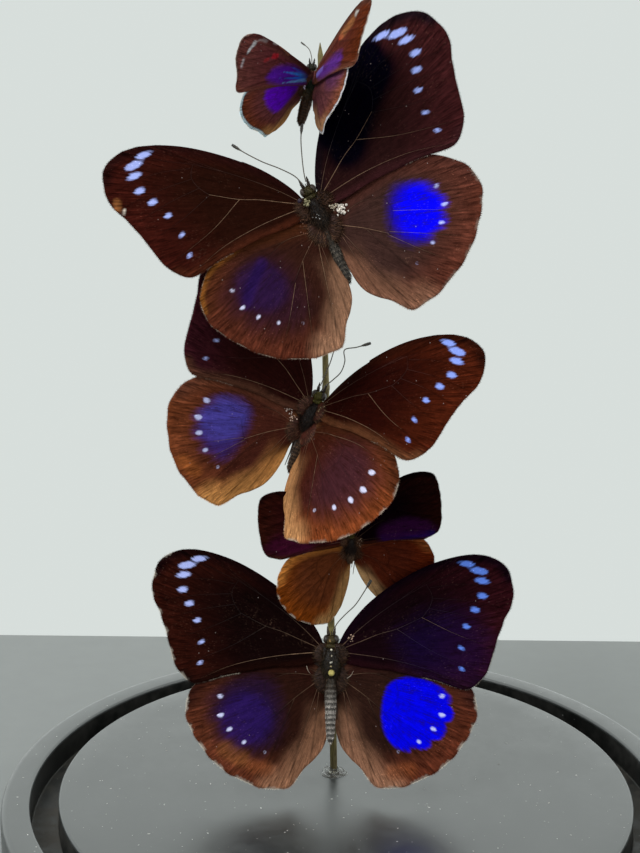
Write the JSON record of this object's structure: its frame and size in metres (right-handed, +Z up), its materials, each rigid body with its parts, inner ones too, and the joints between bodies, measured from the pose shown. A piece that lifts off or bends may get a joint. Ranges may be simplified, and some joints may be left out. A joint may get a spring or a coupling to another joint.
{
  "type": "mounted butterfly group on dome base",
  "caption": "Mounted butterflies with spread brown and blue wings, one above another on a thin upright stem, on a round black base with a groove for a glass dome.",
  "frame": {"origin": "centre of the base's underside", "axes": "+Z up along the stem; the butterflies show their backs to -Y; +X is to the viewer's right"},
  "size_m": [0.165, 0.1654, 0.1988],
  "materials": {
    "base": "black satin lacquer, a little dusty",
    "stem": "dry yellow-olive bark",
    "glue": "clear hardened glue",
    "body": "dark hair and scales over a dry shell",
    "large_wing": "velvety scales, near-black brown with blue patches",
    "violet_wing": "velvety scales, brown with violet patches",
    "dark_wing": "velvety scales, black forewings and orange-brown hindwings"
  },
  "bodies": {
    "root": {"dome_base": "base", "stem": "stem", "glue_blob": "glue", "top_butterfly_body": "body", "top_butterfly_forewing_left": "violet_wing", "top_butterfly_hindwing_left": "violet_wing", "top_butterfly_forewing_right": "violet_wing", "top_butterfly_hindwing_right": "violet_wing", "top_butterfly_antenna_left": "body", "upper_butterfly_body": "body", "upper_butterfly_forewing_left": "large_wing", "upper_butterfly_hindwing_left": "large_wing", "upper_butterfly_forewing_right": "large_wing", "upper_butterfly_hindwing_right": "large_wing", "upper_butterfly_antenna_left": "body", "upper_butterfly_antenna_right": "body", "middle_butterfly_body": "body", "middle_butterfly_forewing_left": "large_wing", "middle_butterfly_hindwing_left": "large_wing", "middle_butterfly_forewing_right": "large_wing", "middle_butterfly_hindwing_right": "large_wing", "middle_butterfly_antenna_left": "body", "middle_butterfly_antenna_right": "body", "small_dark_butterfly_body": "body", "small_dark_butterfly_forewing_left": "dark_wing", "small_dark_butterfly_hindwing_left": "dark_wing", "small_dark_butterfly_forewing_right": "dark_wing", "small_dark_butterfly_hindwing_right": "dark_wing", "small_dark_butterfly_antenna_left": "body", "small_dark_butterfly_antenna_right": "body", "lowest_butterfly_body": "body", "lowest_butterfly_forewing_left": "large_wing", "lowest_butterfly_hindwing_left": "large_wing", "lowest_butterfly_forewing_right": "large_wing", "lowest_butterfly_hindwing_right": "large_wing", "lowest_butterfly_antenna_right": "body"}
  },
  "joints": []
}
